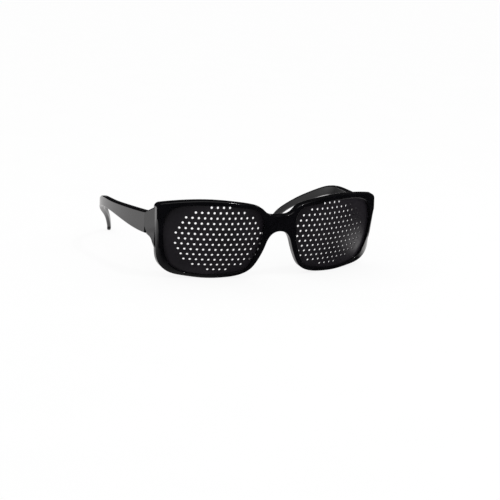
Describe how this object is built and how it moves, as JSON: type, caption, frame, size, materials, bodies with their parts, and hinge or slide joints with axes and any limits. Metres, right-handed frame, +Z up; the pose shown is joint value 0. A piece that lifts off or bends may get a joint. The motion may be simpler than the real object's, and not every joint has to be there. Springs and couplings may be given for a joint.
{
  "type": "pinhole glasses",
  "caption": "Wrap-around glasses with a curved plastic front, perforated opaque plates in place of lenses, and temples that fold on small metal hinges.",
  "frame": {"origin": "on the resting plane, under the centre of the object's overall box, which stands on the bottom of both rims and on both ear hooks", "axes": "+X towards the wearer's left, +Y back towards the ears, +Z up; the front faces -Y"},
  "size_m": [0.162, 0.1316, 0.0467],
  "materials": {
    "black_plastic": "glossy injection-moulded black plastic",
    "plate_plastic": "satin charcoal plastic sheet with many small round holes",
    "hinge_metal": "nickel-plated hinge leaves, softly brushed",
    "screw_steel": "polished small screws"
  },
  "bodies": {
    "front": {"frame_front": "black_plastic", "pinhole_plate_left": "plate_plastic", "front_hinge_leaf_left": "hinge_metal", "hinge_screw_left": "screw_steel", "front_leaf_screws_left": "screw_steel", "pinhole_plate_right": "plate_plastic", "front_hinge_leaf_right": "hinge_metal", "hinge_screw_right": "screw_steel", "front_leaf_screws_right": "screw_steel"},
    "left_temple": {"temple_left": "black_plastic", "temple_hinge_leaf_left": "hinge_metal", "temple_leaf_screws_left": "screw_steel"},
    "right_temple": {"temple_right": "black_plastic", "temple_hinge_leaf_right": "hinge_metal", "temple_leaf_screws_right": "screw_steel"}
  },
  "joints": [
    {"name": "left_temple_fold", "type": "hinge", "parent": "front", "child": "left_temple", "pos_m": [0.0674, -0.03732, 0.03065], "axis": [0, 0, 1], "range_deg": [0, 90]},
    {"name": "right_temple_fold", "type": "hinge", "parent": "front", "child": "right_temple", "pos_m": [-0.0674, -0.03732, 0.03065], "axis": [0, 0, -1], "range_deg": [0, 82]}
  ]
}
